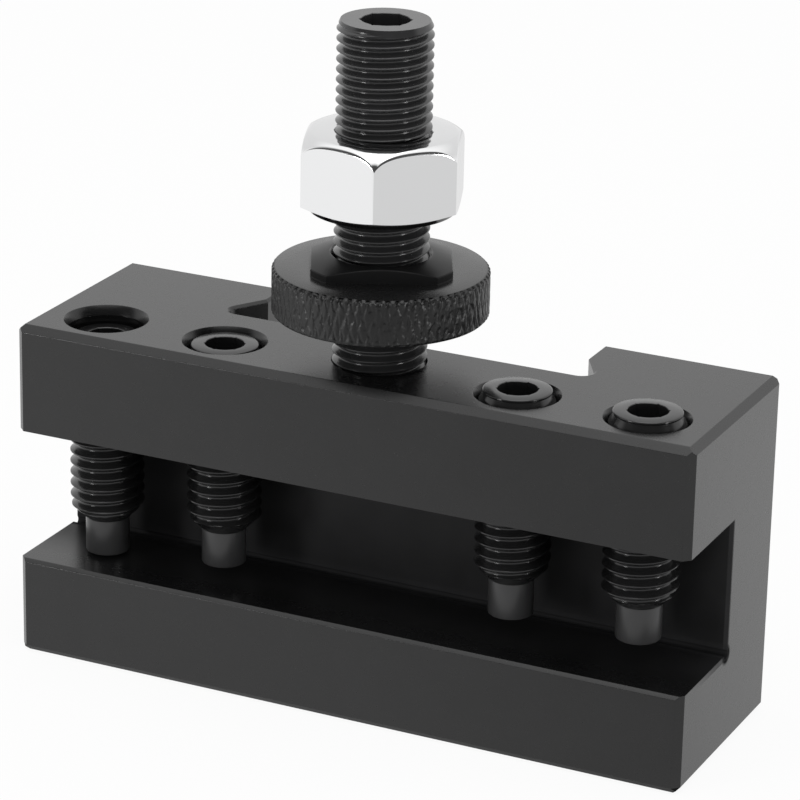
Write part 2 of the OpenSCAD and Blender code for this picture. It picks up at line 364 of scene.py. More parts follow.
class RingStack:
    """A skin of closed rings round an upright axis, which all have the same number of points.

    A path that runs out, up and in again has its faces outwards.
    """

    POINT_RADIUS = 0.0001 * MM
    MERGE = 0.001 * MM

    def __init__(self, angles: list[float]) -> None:
        """Starts an empty stack.

        Args:
            angles: Angles of the points of each ring in radians, in rising order.
        """
        self.skin = bmesh.new()
        self.angles = angles
        self.first: list[bmesh.types.BMVert] = []
        self.last: list[bmesh.types.BMVert] = []

    def ring(self, radius: AroundAxis | float, height: AroundAxis | float) -> None:
        """Adds a ring and joins it to the one before.

        Args:
            radius: The ring's radius, or a function of the angle.
            height: The ring's height, or a function of the angle.
        """
        points = []
        for angle in self.angles:
            r = radius(angle) if callable(radius) else radius
            z = height(angle) if callable(height) else height
            points.append(self.skin.verts.new((r * math.cos(angle), r * math.sin(angle), z)))
        if self.last:
            self.bridge(self.last, points)
        self.first = self.first or points
        self.last = points

    def bridge(self, low: list[bmesh.types.BMVert], high: list[bmesh.types.BMVert]) -> None:
        """Joins two rings with a belt of faces.

        Args:
            low: Points of the first ring.
            high: Points of the second ring.
        """
        for i in range(len(low)):
            after = (i + 1) % len(low)
            self.skin.faces.new((low[i], low[after], high[after], high[i]))

    def point(self, height: float) -> None:
        """Starts or ends the skin in a point on the axis.

        Args:
            height: The point's height.
        """
        if self.last:
            tip = self.skin.verts.new((0.0, 0.0, height))
            for i in range(len(self.last)):
                self.skin.faces.new((self.last[i], self.last[(i + 1) % len(self.last)], tip))
            self.gap()
        else:
            self.ring(self.POINT_RADIUS, height)

    def loop(self) -> None:
        """Joins the last ring to the first, for a piece with a bore right through."""
        self.bridge(self.last, self.first)

    def gap(self) -> None:
        """Leaves the skin open here, and starts again with the next ring."""
        self.first = []
        self.last = []

    def piece(self, name: str) -> bpy.types.Object:
        """Makes the skin an object.

        Args:
            name: The object's name.

        Returns:
            The object, linked to the scene.
        """
        bmesh.ops.remove_doubles(self.skin, verts=self.skin.verts, dist=self.MERGE)
        mesh = bpy.data.meshes.new(name)
        self.skin.to_mesh(mesh)
        self.skin.free()
        made = bpy.data.objects.new(name, mesh)
        bpy.context.scene.collection.objects.link(made)
        return made


def even_angles(count: int) -> list[float]:
    """Returns the angles of a number of points that are spaced evenly round the axis."""
    return [math.tau * i / count for i in range(count)]


def polygon_radius(sides: int, across_flats: float, turn: float) -> AroundAxis:
    """Gives the radius of a regular polygon at each angle.

    Args:
        sides: Number of flats.
        across_flats: Distance between opposite flats.
        turn: Angle of one corner in radians.

    Returns:
        The radius as a function of the angle.
    """
    share = math.tau / sides
    return lambda angle: across_flats / 2 / math.cos((angle - turn) % share - share / 2)


def upright_axis(low: Vector, high: Vector) -> tuple[Vector, float]:
    """Finds the upright axis of a CAD node from its box.

    Args:
        low: The box's lowest corner.
        high: The box's highest corner.

    Returns:
        The point where the axis meets the node's underside, and the node's height.
    """
    return Vector(((low.x + high.x) / 2, (low.y + high.y) / 2, low.z)), high.z - low.z


def finished(piece: bpy.types.Object, place: Vector, sharp_from: float | None) -> bpy.types.Object:
    """Turns a piece and its modifiers into one plain mesh with its place in its points.

    Args:
        piece: The object, built round the z axis.
        place: The point on the axis that it stands on.
        sharp_from: Angle in degrees from which an edge stays sharp, or None to keep the piece's normals.

    Returns:
        The same object with a plain mesh.
    """
    bpy.context.view_layer.update()
    graph = bpy.context.evaluated_depsgraph_get()
    mesh = bpy.data.meshes.new_from_object(piece.evaluated_get(graph), depsgraph=graph)
    piece.modifiers.clear()
    piece.data = mesh
    mesh.name = piece.name
    mesh.transform(Matrix.Translation(place))
    if sharp_from is not None:
        mesh.polygons.foreach_set("use_smooth", [True] * len(mesh.polygons))
        mesh.set_sharp_from_angle(angle=math.radians(sharp_from))
    return piece


def soften_edges(piece: bpy.types.Object, width: float, from_angle: float) -> None:
    """Breaks the sharp edges of a piece with a small round, and keeps its big faces flat in the light.

    Args:
        piece: The object.
        width: Width of the round.
        from_angle: Angle in degrees from which an edge is broken.
    """
    bevel = piece.modifiers.new("edge_break", "BEVEL")
    bevel.width = width
    bevel.segments = 2
    bevel.limit_method = "ANGLE"
    bevel.angle_limit = math.radians(from_angle)
    bevel.miter_outer = "MITER_ARC"
    piece.data.polygons.foreach_set("use_smooth", [True] * len(piece.data.polygons))
    normals = piece.modifiers.new("even_normals", "WEIGHTED_NORMAL")
    normals.mode = "FACE_AREA_WITH_ANGLE"
    normals.weight = 100


class Measure(Enum):
    """What a zone of a finish, or of painted shade or light, is measured by."""

    HEIGHT = "height"
    RADIUS = "radius"
    SLOPE = "slope"
    CHANNEL = "channel"
    CORNER = "corner"


@dataclass(frozen=True)
class Zone:
    """A part of a piece whose finish differs, or where shade or light is painted into its colour and its
    reflection.

    Args:
        by: What it is measured by. A radius is taken from the stud's axis, a slope is the upward part of
            the surface's direction, the channel is measured inwards from its front edge, and the corner
            is measured from the line where the channel's wall meets its floor.
        start: Where the difference starts.
        full: Where it is complete, on either side of the start.
        shade: Factor on the colour.
        roughness: Addition to the roughness.
        gloss: Factor on the reflection's strength.
    """

    # How far the channel's zone reaches past its floor and wall, and past its roof
    RELIEF = 0.6 * MM
    CLOSE = 0.1 * MM

    by: Measure
    start: float
    full: float
    shade: float = 1.0
    roughness: float = 0.0
    gloss: float = 1.0

    def share(self, tree: bpy.types.NodeTree, place: bpy.types.NodeSocket) -> Term:
        """Works out how far a point lies in the zone.

        Args:
            tree: The material's tree.
            place: The piece's own coordinates.

        Returns:
            A share from 0 to 1.
        """
        parts = tree.nodes.new("ShaderNodeSeparateXYZ")
        tree.links.new(place, parts.inputs[0])
        x, y, z = (Term(tree, parts.outputs[label]) for label in "XYZ")
        if self.by is Measure.HEIGHT:
            measured = z
        elif self.by is Measure.RADIUS:
            off = y - STUD_Y
            measured = (x * x + off * off).step("SQRT")
        elif self.by is Measure.SLOPE:
            facing = tree.nodes.new("ShaderNodeSeparateXYZ")
            tree.links.new(tree.nodes.new("ShaderNodeNewGeometry").outputs["Normal"], facing.inputs[0])
            measured = Term(tree, facing.outputs["Z"])
        elif self.by is Measure.CHANNEL:
            above = z.step("GREATER_THAN", CHANNEL_FLOOR - self.RELIEF)
            below = z.step("LESS_THAN", CHANNEL_ROOF + self.CLOSE)
            before = y.step("LESS_THAN", CHANNEL_BACK + self.RELIEF)
            measured = (y - CHANNEL_FRONT) * above * below * before
        else:
            out, up = y - CHANNEL_BACK, z - CHANNEL_FLOOR
            measured = (out * out + up * up).step("SQRT")
        if self.start < self.full:
            return measured.eased(self.start, self.full)
        return measured.eased(self.full, self.start) * -1.0 + 1.0


@dataclass(frozen=True)
class Pattern:
    """A noise pattern on a piece's own coordinates.

    Args:
        scale: The pattern's scale per metre.
        detail: Levels of detail.
    """

    scale: float
    detail: float

    def add(
        self, tree: bpy.types.NodeTree, place: bpy.types.NodeSocket,
        stretch: tuple[float, float, float] = (1.0, 1.0, 1.0),
    ) -> bpy.types.NodeSocket:
        """Adds the pattern to a material.

        Args:
            tree: The material's tree.
            place: The coordinates.
            stretch: Factors by which the coordinates are scaled first.

        Returns:
            The noise from 0 to 1.
        """
        mapping = tree.nodes.new("ShaderNodeMapping")
        mapping.inputs["Scale"].default_value = stretch
        tree.links.new(place, mapping.inputs["Vector"])
        noise = tree.nodes.new("ShaderNodeTexNoise")
        noise.inputs["Scale"].default_value = self.scale
        noise.inputs["Detail"].default_value = self.detail
        tree.links.new(mapping.outputs[0], noise.inputs["Vector"])
        return noise.outputs[0]


CLOUDS = Pattern(220.0, 4.0)
SPECKLE = Pattern(900.0, 5.0)
TOOL_MARKS = Pattern(5200.0, 3.0)


@dataclass(frozen=True)
class MetalFinish:
    """A metal surface with soft mottling and fine tool marks.

    Args:
        name: The material's name.
        colour: Linear base colour.
        metallic: Metallic share.
        roughness: Middle roughness.
        mottle: How far the roughness wanders.
        lay: The way that the tool marks run.
        marks: Height of the tool marks.
        clouds: How far the colour wanders, as a share.
        zones: Parts of the piece whose finish differs, or where shade or light is painted into the colour
            and the reflection.
        cloud_span: Heights of the cloud pattern between which the colour wanders.
    """

    name: str
    colour: tuple[float, float, float]
    metallic: float
    roughness: float
    mottle: float
    lay: Lay
    marks: float
    clouds: float = 0.13
    zones: tuple[Zone, ...] = ()
    cloud_span: tuple[float, float] = (0.3, 0.7)

    def material(self) -> bpy.types.Material:
        """Builds the material.

        Returns:
            The new material.
        """
        made = bpy.data.materials.new(self.name)
        made.use_nodes = True
        tree = made.node_tree
        shader = tree.nodes["Principled BSDF"]
        shader.inputs["Metallic"].default_value = self.metallic
        place = tree.nodes.new("ShaderNodeTexCoord").outputs["Object"]
        colour = self.clouded(tree, place)
        speckle = Term(tree, SPECKLE.add(tree, place))
        rough = speckle * (2.0 * self.mottle) + (self.roughness - self.mottle)
        level: Term | None = None
        # Each zone scales the colour and the reflection's strength; several of them paint shade or light
        # this way
        for zone in self.zones:
            share = zone.share(tree, place)
            rough = rough + share * zone.roughness
            scale = tree.nodes.new("ShaderNodeVectorMath")
            scale.operation = "SCALE"
            tree.links.new(colour, scale.inputs[0])
            tree.links.new((share * (zone.shade - 1.0) + 1.0).socket, scale.inputs["Scale"])
            colour = scale.outputs["Vector"]
            dulled = share * (zone.gloss - 1.0) + 1.0
            level = dulled * SPECULAR_LEVEL if level is None else level * dulled
        if level is not None:
            tree.links.new(level.socket, shader.inputs["Specular IOR Level"])
        tree.links.new(colour, shader.inputs["Base Color"])
        tree.links.new(rough.socket, shader.inputs["Roughness"])
        bump = tree.nodes.new("ShaderNodeBump")
        bump.inputs["Strength"].default_value = 1.0
        bump.inputs["Distance"].default_value = self.marks
        tree.links.new(TOOL_MARKS.add(tree, place, self.lay.value), bump.inputs["Height"])
        tree.links.new(bump.outputs["Normal"], shader.inputs["Normal"])
        return made

    def clouded(self, tree: bpy.types.NodeTree, place: bpy.types.NodeSocket) -> bpy.types.NodeSocket:
        """Lets the colour wander softly.

        Args:
            tree: The material's tree.
            place: The piece's own coordinates.

        Returns:
            The colour.
        """
        shade = tree.nodes.new("ShaderNodeValToRGB")
        dark, light = shade.color_ramp.elements
        dark.position, light.position = self.cloud_span
        dark.color = (*(part * (1.0 - self.clouds) for part in self.colour), 1.0)
        light.color = (*(part * (1.0 + self.clouds) for part in self.colour), 1.0)
        tree.links.new(CLOUDS.add(tree, place), shade.inputs["Fac"])
        return shade.outputs["Color"]


@dataclass
class Block:
    """The ground block, a copy of the CAD solid with its edges broken."""

    edge_break: float = 0.05 * MM
    break_from: float = 20.0
    flat_within: float = 0.4
    merge: float = 0.001 * MM
    finish: MetalFinish = MetalFinish(
        "satin_black_ground_steel", (0.006, 0.006, 0.0062), 0.0, 0.27, 0.02, Lay.ALONG_X, 0.0004 * MM,
        zones=(
            # Painted shade inside the channel, whose reflection is dulled, and painted light in its
            # colour, which is lightened to make up for the little light that reaches in
            Zone(Measure.CHANNEL, 2.0 * MM, 10.0 * MM, 2.3, 0.1, 0.22),
            # Painted shade along the corner where the channel's wall meets its floor: its reflection is
            # taken out, and its colour is lightened a little so that the stripe stays grey
            Zone(Measure.CORNER, 1.3 * MM, 0.8 * MM, 1.5, 0.2, 0.0),
            # Painted shade along the block's foot: the reflection of the bottom chamfer is dulled
            Zone(Measure.HEIGHT, 0.78 * MM, 0.72 * MM, 1.0, 0.1, 0.1),
        ),
    )

    def build(self, node: bpy.types.Object) -> bpy.types.Object:
        """Copies the CAD solid, merges its loose triangles and breaks its edges.

        Args:
            node: The CAD node of the block.

        Returns:
            The dressed piece.
        """
        skin = bmesh.new()
        skin.from_mesh(node.data)
        bmesh.ops.remove_doubles(skin, verts=skin.verts, dist=self.merge)
        bmesh.ops.dissolve_limit(
            skin, angle_limit=math.radians(self.flat_within), verts=skin.verts, edges=skin.edges,
            delimit={"NORMAL"},
        )
        mesh = bpy.data.meshes.new("ground_block")
        skin.to_mesh(mesh)
        skin.free()
        piece = bpy.data.objects.new("ground_block", mesh)
        bpy.context.scene.collection.objects.link(piece)
        soften_edges(piece, self.edge_break, self.break_from)
        piece = finished(piece, Vector(), None)
        piece.data.materials.clear()
        piece.data.materials.append(self.finish.material())
        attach(piece, "holder")
        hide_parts("holder_body")
        return piece


@dataclass(frozen=True)
class KeySocket:
    """A hex key socket that is bored out so far that only its corners still stand out.

    Args:
        across_flats: Distance between opposite flats.
        bore_radius: Radius of the bore, a little over half the distance between the flats.
        depth: Depth of the flats.
        edge: Width of the broken edge round the mouth.
        turn: Angle of one corner in radians, which a point of the piece's rings has too.
        drill_point: Height of the drilled cone under the flats, as a share of the distance between them.
    """

    across_flats: float
    bore_radius: float
    depth: float
    edge: float = 0.06 * MM
    turn: float = math.tau / 14
    drill_point: float = 0.25

    def sink(self, stack: RingStack, top: float) -> None:
        """Adds the socket's rings to a stack whose last ring is the flat face round the mouth.

        Args:
            stack: The stack of the piece.
            top: Height of the flat face.
        """
        flats = polygon_radius(6, self.across_flats, self.turn)

        def wall(angle: float) -> float:
            """Returns the socket's distance from the axis."""
            return max(flats(angle), self.bore_radius)

        stack.ring(lambda angle: wall(angle) + self.edge, top)
        stack.ring(wall, top - self.edge)
        stack.ring(wall, top - self.depth)
        stack.point(top - self.depth - self.across_flats * self.drill_point)


@dataclass
class Stud:
    """The threaded stud in the middle of the block, plain where the block hides it."""

    radius: float = 4.9 * MM
    pitch: float = 1.058 * MM
    depth: float = 0.66 * MM
    engaged: float = 10.0 * MM
    lead: float = 0.35 * MM
    root_play: float = 0.02 * MM
    shoulder: float = 0.1 * MM
    top_radius: float = 4.54 * MM
    top_slope: float = 0.5
    fade: float = 0.9 * MM
    phase: float = 0.0
    around: int = 84
    rows_each: int = 24
    socket: KeySocket = KeySocket(4.66 * MM, 2.47 * MM, 6.0 * MM)
    finish: MetalFinish = MetalFinish(
        "oiled_black_stud", (0.022, 0.022, 0.0225), 0.0, 0.2, 0.03, Lay.NO_WAY, 0.0004 * MM
    )

    def build(self, thread: BandTree) -> bpy.types.Object:
        """Builds the stud where the CAD node stands.

        Args:
            thread: The tree that winds threads.

        Returns:
            The dressed piece.
        """
        low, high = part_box("height_stud")
        axis, top = upright_axis(low, high)
        thread_from = self.engaged - self.pitch
        root = self.radius - self.depth - self.root_play
        stack = RingStack(even_angles(self.around))
        stack.point(0.0)
        stack.ring(self.radius - self.lead, 0.0)
        stack.ring(self.radius, self.lead)
        stack.ring(self.radius, thread_from - self.shoulder)
        stack.ring(root, thread_from)
        # The wound thread fills this gap
        stack.gap()
        stack.ring(self.top_radius, top)
        self.socket.sink(stack, top)
        piece = stack.piece("height_stud_thread")
        values = {
            "Crest Radius": self.radius, "Pitch": self.pitch, "Depth": self.depth, "Foot": thread_from,
            "Top": top, "Foot Radius": root, "Top Radius": self.top_radius, "Top Slope": self.top_slope,
            "Fade": self.fade, "Phase": self.phase, "Around": self.around, "Rows Per Turn": self.rows_each,
            "Turns": math.ceil((top - thread_from) / self.pitch) + 2,
        }
        thread.fit(piece, values, self.finish.material())
        piece = finished(piece, axis, THREAD_SHARP_FROM)
        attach(piece, "holder")
        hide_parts("height_stud")
        return piece


@dataclass
class ClampScrews:
    """The four dog-point set screws.

    The rim is a necked edge round the top, as radii with their depths under the top face. The dog's
    bulge is the middle point of its rounded chamfer, as shares of the chamfer outwards and upwards. The
    dog is ground, so it is lighter and less glossy than the thread, and its zone starts at its upper end.
    """

    radius: float = 3.95 * MM
    pitch: float = 1.25 * MM
    depth: float = 0.74 * MM
    fade: float = 0.25 * MM
    rim: tuple[tuple[float, float], ...] = (
        (3.95 * MM, 1.26 * MM), (3.93 * MM, 1.2 * MM), (3.49 * MM, 0.42 * MM), (3.46 * MM, 0.34 * MM),
        (3.5 * MM, 0.27 * MM), (3.55 * MM, 0.2 * MM), (3.55 * MM, 0.13 * MM), (3.5 * MM, 0.05 * MM),
        (3.38 * MM, 0.0),
    )
    dog_radius: float = 2.35 * MM
    dog_length: float = 3.9 * MM
    dog_chamfer: float = 0.15 * MM
    dog_bulge: tuple[float, float] = (0.7, 0.4)
    around: int = 84
    rows_each: int = 24
    phases: tuple[float, float, float, float] = (0.0, 0.3, 0.6, 0.8)
    socket: KeySocket = KeySocket(3.76 * MM, 2.05 * MM, 5.0 * MM)
    ground: Zone = Zone(Measure.HEIGHT, 0.05 * MM, 0.0, 2.6, 0.13)
    finish: MetalFinish = MetalFinish(
        "oiled_black_screw", (0.011, 0.011, 0.0112), 0.0, 0.2, 0.03, Lay.NO_WAY, 0.0004 * MM
    )

    def build(self, thread: BandTree) -> list[bpy.types.Object]:
        """Builds each screw where its CAD node stands.

        Args:
            thread: The tree that winds threads.

        Returns:
            The dressed pieces.
        """
        return [self.build_one(i, thread) for i in range(len(self.phases))]

    def build_one(self, index: int, thread: BandTree) -> bpy.types.Object:
        """Builds one screw.

        Args:
            index: Its place in the row, from the left.
            thread: The tree that winds threads.

        Returns:
            The dressed piece.
        """
        node = f"clamp_screw_{index + 1}"
        low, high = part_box(node)
        axis, top = upright_axis(low, high)
        thread_to = top - self.rim[0][1]
        stack = RingStack(even_angles(self.around))
        stack.point(0.0)
        stack.ring(self.dog_radius - self.dog_chamfer, 0.0)
        out, up = self.dog_bulge
        stack.ring(self.dog_radius - self.dog_chamfer * (1.0 - out), self.dog_chamfer * up)
        stack.ring(self.dog_radius, self.dog_chamfer)
        stack.ring(self.dog_radius, self.dog_length)
        # The wound thread fills this gap
        stack.gap()
        for radius, drop in self.rim:
            stack.ring(radius, top - drop)
        self.socket.sink(stack, top)
        piece = stack.piece(f"{node}_thread")
        values = {
            "Crest Radius": self.radius, "Pitch": self.pitch, "Depth": self.depth, "Foot": self.dog_length,
            "Top": thread_to, "Foot Radius": self.dog_radius, "Top Radius": self.radius, "Fade": self.fade,
            "Phase": self.phases[index], "Around": self.around, "Rows Per Turn": self.rows_each,
            "Turns": math.ceil((thread_to - self.dog_length) / self.pitch) + 2,
        }
        dog_end = axis.z + self.dog_length
        ground = replace(self.ground, start=dog_end + self.ground.start, full=dog_end + self.ground.full)
        finish = replace(self.finish, name=f"{self.finish.name}_{index + 1}", zones=(ground,))
        thread.fit(piece, values, finish.material())
        piece = finished(piece, axis, THREAD_SHARP_FROM)
        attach(piece, f"screw_{index + 1}")
        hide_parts(node)
        return piece


@dataclass
class ThumbWheel:
    """The knurled height wheel with its four-sided spanner boss.

    The boss is a rectangle whose corners are turned to a radius and whose top is turned to a cone. A
    plain lip at each end of the rim is a share of the edge break high.
    """

    radius: float = 11.15 * MM
    height: float = 4.9 * MM
    chamfer: float = 0.25 * MM
    knurl_depth: float = 0.09 * MM
    rim_bite: float = 2.6
    knurl_count: int = 74
    diamonds_up: float = 1.5
    wear: float = 1.4
    drift: float = 1.0
    crossing: float = 1.0
    columns_each: int = 12
    rows: int = 64
    boss_flats: float = 11.6 * MM
    boss_width: float = 14.4 * MM
    boss_radius: float = 8.05 * MM
    boss_turn: float = math.radians(26.5)
    boss_chamfer_angle: float = math.radians(17.5)
    boss_top_radius: float = 5.5 * MM
    bore_radius: float = 4.915 * MM
    bore_flare: float = 0.3 * MM
    edge: float = 0.08 * MM
    lip_share: float = 0.3
    sharp_from: float = 28.0
    finish: MetalFinish = MetalFinish(
        "satin_black_knurled_steel", (0.009, 0.009, 0.0092), 0.0, 0.27, 0.03, Lay.NO_WAY, 0.0005 * MM,
        zones=(
            Zone(Measure.RADIUS, 10.75 * MM, 10.85 * MM, 0.6, 0.1, 0.8),
            # Painted shade on the boss under the nut: its reflection is dulled
            Zone(Measure.HEIGHT, 47.35 * MM, 47.4 * MM, 1.0, 0.03, 0.25),
            # Painted light round the bore: its reflection is made four times as strong, which lightens the
            # gap round the stud and undoes the boss's painted shade at the bore's edge
            Zone(Measure.RADIUS, 5.3 * MM, 5.2 * MM, 1.0, 0.0, 4.0),
        ),
    )

    def boss(self, angle: float) -> float:
        """Gives the distance of the boss's side from the axis.

        Args:
            angle: The angle round the axis.

        Returns:
            The distance.
        """
        never_zero = 0.01
        across = max(abs(math.cos(angle - self.boss_turn)), never_zero)
        along = max(abs(math.sin(angle - self.boss_turn)), never_zero)
        return min(self.boss_width / 2 / across, self.boss_flats / 2 / along, self.boss_radius)

    def cone(self, radius: float, top: float) -> float:
        """Gives the height of the cone that ends the boss.

        Args:
            radius: The distance from the axis.
            top: Height of the boss's flat top.

        Returns:
            The cone's height.
        """
        return top - max(radius - self.boss_top_radius, 0.0) * math.tan(self.boss_chamfer_angle)

    def build(self, knurl: BandTree) -> bpy.types.Object:
        """Builds the wheel where the CAD node stands.

        Args:
            knurl: The tree that presses knurls.

        Returns:
            The dressed piece.
        """
        low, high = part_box("thumb_wheel")
        axis, top = upright_axis(low, high)
        lip = self.edge * self.lip_share
        stack = RingStack(even_angles(self.knurl_count * self.columns_each))
        stack.ring(self.bore_radius, self.bore_flare)
        stack.ring(self.bore_radius + self.bore_flare, 0.0)
        stack.ring(self.radius - self.chamfer - self.edge, 0.0)
        stack.ring(self.radius - self.chamfer, lip)
        foot_of_bore = stack.first
        # The knurled band fills this gap
        stack.gap()
        stack.ring(self.radius - self.chamfer, self.height - lip)
        stack.ring(self.radius - self.chamfer - self.edge, self.height)
        stack.ring(self.boss, self.height)
        stack.ring(self.boss, lambda a: self.cone(self.boss(a), top) - self.edge)
        stack.ring(lambda a: self.boss(a) - self.edge, lambda a: self.cone(self.boss(a) - self.edge, top))
        stack.ring(self.boss_top_radius, top)
        stack.ring(self.bore_radius + self.bore_flare, top)
        stack.ring(self.bore_radius, top - self.bore_flare)
        stack.bridge(stack.last, foot_of_bore)
        piece = stack.piece("thumb_wheel_knurled")
        values = {
            "Radius": self.radius, "Foot": lip, "Top": self.height - lip,
            "Chamfer": self.chamfer, "Depth": self.knurl_depth, "Count": self.knurl_count,
            "Diamonds Up": self.diamonds_up, "Wear": self.wear, "Drift": self.drift,
            "Crossing": self.crossing, "Rim Bite": self.rim_bite, "Columns Each": self.columns_each,
            "Rows": self.rows,
        }
        knurl.fit(piece, values, self.finish.material())
        piece = finished(piece, axis, self.sharp_from)
        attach(piece, "wheel")
        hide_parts("thumb_wheel")
        return piece


@dataclass
class LockNut:
    """The bright hexagonal nut with a domed top and a low collar.

    The dome is a round band of its own radius, which meets each side in an arc that is rounded too.
    """

    across_flats: float = 15.65 * MM
    height: float = 8.1 * MM
    turn: float = math.radians(-10.0)
    dome_radius: float = 2.55 * MM
    dome_from: float = math.radians(17.5)
    dome_to: float = math.radians(77.5)
    dome_steps: int = 12
    arc_round: float = 0.6 * MM
    arc_round_steps: int = 10
    corner_round: float = 0.1 * MM
    base_angle: float = math.radians(20.0)
    collar_height: float = 0.5 * MM
    collar_step: float = 0.03 * MM
    collar_taper: float = 0.25 * MM
    bore_radius: float = 4.915 * MM
    bore_flare: float = 0.12 * MM
    around: int = 192
    close_step: float = math.radians(0.25)
    close_steps: int = 7
    clear_of_corner: float = 0.033
    sharp_from: float = 24.0
    finish: MetalFinish = MetalFinish(
        "bright_zinc_plate", (0.84, 0.843, 0.848), 1.0, 0.1, 0.0, Lay.NO_WAY, 0.0001 * MM, 0.0,
        # Painted shade: the collar under the hexagon is darkened, and so is the dome wherever it faces
        # upwards
        (Zone(Measure.HEIGHT, 54.15 * MM, 53.95 * MM, 0.06), Zone(Measure.SLOPE, 0.3, 0.6, 0.8)),
    )

    def angles(self) -> list[float]:
        """Returns the angles of the skin's points, closer together at the six corners."""
        corners = [i * math.tau / 6 for i in range(7)]
        far = self.clear_of_corner
        angles = [a for a in even_angles(self.around) if min(abs(a - c) for c in corners) > far]
        close = [i * self.close_step for i in range(-self.close_steps, self.close_steps + 1)]
        for corner in corners[:-1]:
            angles += [corner + part for part in close]
        return sorted(self.turn + angle for angle in angles)

    def side(self, angle: float) -> float:
        """Gives the distance of the nut's side from the axis.

        Args:
            angle: The angle round the axis.

        Returns:
            The distance, with the hexagon's corners rounded.
        """
        off_corner = abs((angle - self.turn + math.pi / 6) % (math.pi / 3) - math.pi / 6)
        middle = (self.across_flats / 2 - self.corner_round) / math.cos(math.pi / 6)
        within = self.corner_round ** 2 - (middle * math.sin(off_corner)) ** 2
        flat = self.across_flats / 2 / math.cos(math.pi / 6 - off_corner)
        if within < 0.0:
            return flat
        return min(flat, middle * math.cos(off_corner) + math.sqrt(within))

    def dome_middle(self) -> tuple[float, float]:
        """Returns the radius and height of the middle of the dome's band."""
        x = self.across_flats / math.sqrt(3) - self.dome_radius * math.sin(self.dome_to)
        return x, self.height - self.dome_radius * math.cos(self.dome_from)

    def arc_middle(self, angle: float) -> tuple[float, float, float]:
        """Finds the middle of the small round between the side and the dome.

        Args:
            angle: The angle round the axis.

        Returns:
            The middle's radius and height, and the angle that the round turns through.
        """
        dome_x, dome_z = self.dome_middle()
        inner = self.dome_radius - self.arc_round
        x = self.side(angle) - self.arc_round
        reach = min((x - dome_x) / inner, 1.0)
        return x, dome_z + inner * math.sqrt(1.0 - reach * reach), math.acos(reach)

    def arc_ring(self, stack: RingStack, share: float) -> None:
        """Adds one ring of the small round.

        Args:
            stack: The stack of the nut.
            share: Share of the way from the side to the dome.
        """

        def radius(angle: float) -> float:
            """Returns the ring's distance from the axis."""
            x, _, span = self.arc_middle(angle)
            return x + self.arc_round * math.cos(span * share)

        def height(angle: float) -> float:
            """Returns the ring's height."""
            _, z, span = self.arc_middle(angle)
            return z + self.arc_round * math.sin(span * share)

        stack.ring(radius, height)

    def dome_ring(self, stack: RingStack, share: float) -> None:
        """Adds one ring of the dome.

        Args:
            stack: The stack of the nut.
            share: Share of the way from the small round to the flat top.
        """
        dome_x, dome_z = self.dome_middle()
        end = math.pi / 2 - self.dome_from

        def bend(angle: float) -> float:
            """Returns how far the band has turned inwards."""
            start = min(self.arc_middle(angle)[2], end)
            return start + (end - start) * share

        stack.ring(
            lambda angle: dome_x + self.dome_radius * math.cos(bend(angle)),
            lambda angle: dome_z + self.dome_radius * math.sin(bend(angle)),
        )

    def build(self) -> bpy.types.Object:
        """Builds the nut where the CAD node stands.

        Returns:
            The dressed piece.
        """
        low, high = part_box("lock_nut")
        axis, _ = upright_axis(low, high)
        collar = self.across_flats / 2 - self.collar_step
        stack = RingStack(self.angles())
        stack.ring(self.bore_radius, self.bore_flare)
        stack.ring(self.bore_radius + self.bore_flare, 0.0)
        stack.ring(collar - self.collar_taper, 0.0)
        stack.ring(collar, self.collar_height)
        stack.ring(
            self.side, lambda a: self.collar_height + (self.side(a) - collar) * math.tan(self.base_angle)
        )
        for i in range(self.arc_round_steps + 1):
            self.arc_ring(stack, i / self.arc_round_steps)
        for i in range(1, self.dome_steps + 1):
            self.dome_ring(stack, i / self.dome_steps)
        stack.ring(self.bore_radius + self.bore_flare, self.height)
        stack.ring(self.bore_radius, self.height - self.bore_flare)
        stack.loop()
        piece = stack.piece("lock_nut_hexagon")
        piece = finished(piece, axis, self.sharp_from)
        piece.data.materials.append(self.finish.material())
        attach(piece, "nut")
        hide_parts("lock_nut")
        return piece


def outward(azimuth: float, elevation: float) -> Vector:
    """Gives the direction from the part to a place round it.

    Args:
        azimuth: Angle in radians from -Y towards +X.
        elevation: Angle in radians over the horizon.

    Returns:
        The direction.
    """
    level = math.cos(elevation)
    return Vector((math.sin(azimuth) * level, -math.cos(azimuth) * level, math.sin(elevation)))


@dataclass(frozen=True)
class Softbox:
    """An area lamp of a given brightness, aimed at the middle of the part.

    Args:
        name: The lamp's name.
        azimuth: Its direction in degrees, from -Y towards +X.
        elevation: Its elevation in degrees.
        distance: Its distance from the part.
        width: Its width.
        height: Its height.
        radiance: Its brightness, where 1 is white.
    """

    AIM = Vector((0.0, 0.0, 30.0 * MM))

    name: str
    azimuth: float
    elevation: float
    distance: float
    width: float
    height: float
    radiance: float

    def build(self) -> None:
        """Sets the lamp up."""
        away = outward(math.radians(self.azimuth), math.radians(self.elevation))
        lamp = bpy.data.lights.new(self.name, "AREA")
        lamp.shape = "RECTANGLE"
        lamp.size = self.width
        lamp.size_y = self.height
        lamp.energy = self.radiance * math.pi * self.width * self.height
        holder = bpy.data.objects.new(self.name, lamp)
        holder.location = self.AIM + away * self.distance
        holder.rotation_euler = away.to_track_quat("Z", "Y").to_euler()
        bpy.context.scene.collection.objects.link(holder)


